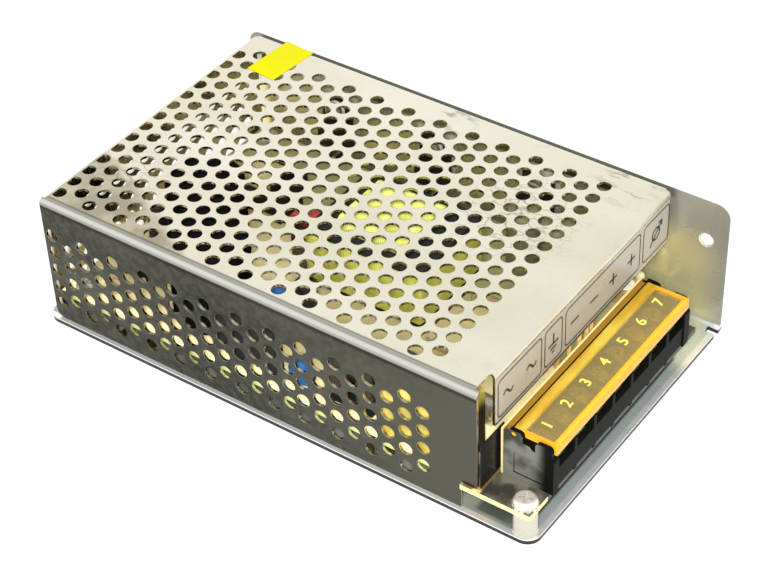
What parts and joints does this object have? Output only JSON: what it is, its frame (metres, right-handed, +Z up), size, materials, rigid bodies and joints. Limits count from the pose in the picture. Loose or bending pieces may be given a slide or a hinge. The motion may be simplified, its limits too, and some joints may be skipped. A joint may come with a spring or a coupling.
{
  "type": "mesh case switching power supply",
  "caption": "Enclosed switching power supply in a folded steel chassis with a perforated cover and a screw terminal block under a clear flip cover.",
  "frame": {"origin": "centre of the box round the part, on the underside of the base", "axes": "+X towards the terminal end, +Y towards the chassis side wall, +Z up through the perforated cover"},
  "size_m": [0.159, 0.098, 0.0421],
  "materials": {
    "steel_bright": "bright galvanised or nickel-plated sheet steel",
    "label_film": "silvery printed film",
    "seal_paper": "yellow paper",
    "zinc": "zinc-plated steel",
    "board": "tan fibre board with tinned copper",
    "black_plastic": "moulded black plastic",
    "amber_clear": "clear amber plastic",
    "cream_plastic": "cream moulded plastic",
    "tinned": "tinned brass",
    "black_film": "black film",
    "ferrite": "ferrite",
    "winding_tape": "yellow tape over copper",
    "core_tape": "olive yellow tape",
    "cap_black": "black sleeve",
    "cap_dark": "dark sleeve",
    "toroid_coat": "epoxy coating",
    "copper_wire": "enamelled copper",
    "film_yellow": "yellow moulded box",
    "disc_blue": "blue dip coating",
    "dip_red": "red dip coating",
    "dip_green": "dark green dip coating",
    "clear_glass": "clear glass",
    "package_black": "moulded black package",
    "pad_pink": "silicone pad",
    "ivory_plastic": "ivory plastic",
    "resistor_tan": "tan lacquer",
    "trimmer_blue": "blue plastic",
    "led_green": "green clear plastic"
  },
  "bodies": {
    "supply": {"chassis": "steel_bright", "cover": "steel_bright", "terminal_label": "label_film", "seal_sticker": "seal_paper", "cover_screws": "zinc", "circuit_board": "board", "board_standoffs": "zinc", "board_screws": "zinc", "board_washers": "zinc", "terminal_block": "black_plastic", "terminal_guard": "cream_plastic", "terminal_screws": "zinc", "terminal_clamps": "tinned", "terminal_contacts": "tinned", "insulation_sheet": "black_film", "transformer_core": "ferrite", "transformer_winding": "winding_tape", "transformer_bobbin": "black_plastic", "transformer_tape": "core_tape", "drive_core": "ferrite", "drive_winding": "winding_tape", "drive_bobbin": "black_plastic", "main_capacitors": "cap_black", "output_capacitors": "cap_dark", "small_capacitors": "cap_dark", "toroid_core": "toroid_coat", "toroid_winding": "copper_wire", "line_choke_core": "ferrite", "line_choke_windings": "copper_wire", "film_capacitor": "film_yellow", "disc_capacitors": "disc_blue", "red_capacitor": "dip_red", "thermistor": "dip_green", "fuse_tube": "clear_glass", "fuse_caps": "tinned", "fuse_clips": "tinned", "bridge_rectifier": "black_plastic", "power_transistors": "package_black", "rectifier_diode": "package_black", "device_pads": "pad_pink", "device_bushes": "ivory_plastic", "device_screws": "zinc", "control_ic": "package_black", "resistors": "resistor_tan", "trimmer_body": "trimmer_blue", "indicator_led": "led_green"},
    "flip_cover": {"terminal_cover": "amber_clear"},
    "trimmer": {"trimmer_rotor": "ivory_plastic"}
  },
  "joints": [
    {"name": "flip_cover_hinge", "type": "hinge", "parent": "supply", "child": "flip_cover", "pos_m": [0.0677, 0, 0.025], "axis": [0, -1, 0], "range_deg": [0, 95]},
    {"name": "trimmer_turn", "type": "hinge", "parent": "supply", "child": "trimmer", "pos_m": [0.0566, 0.035, 0.0142], "axis": [0, 0, 1], "range_deg": [-135, 135]}
  ]
}
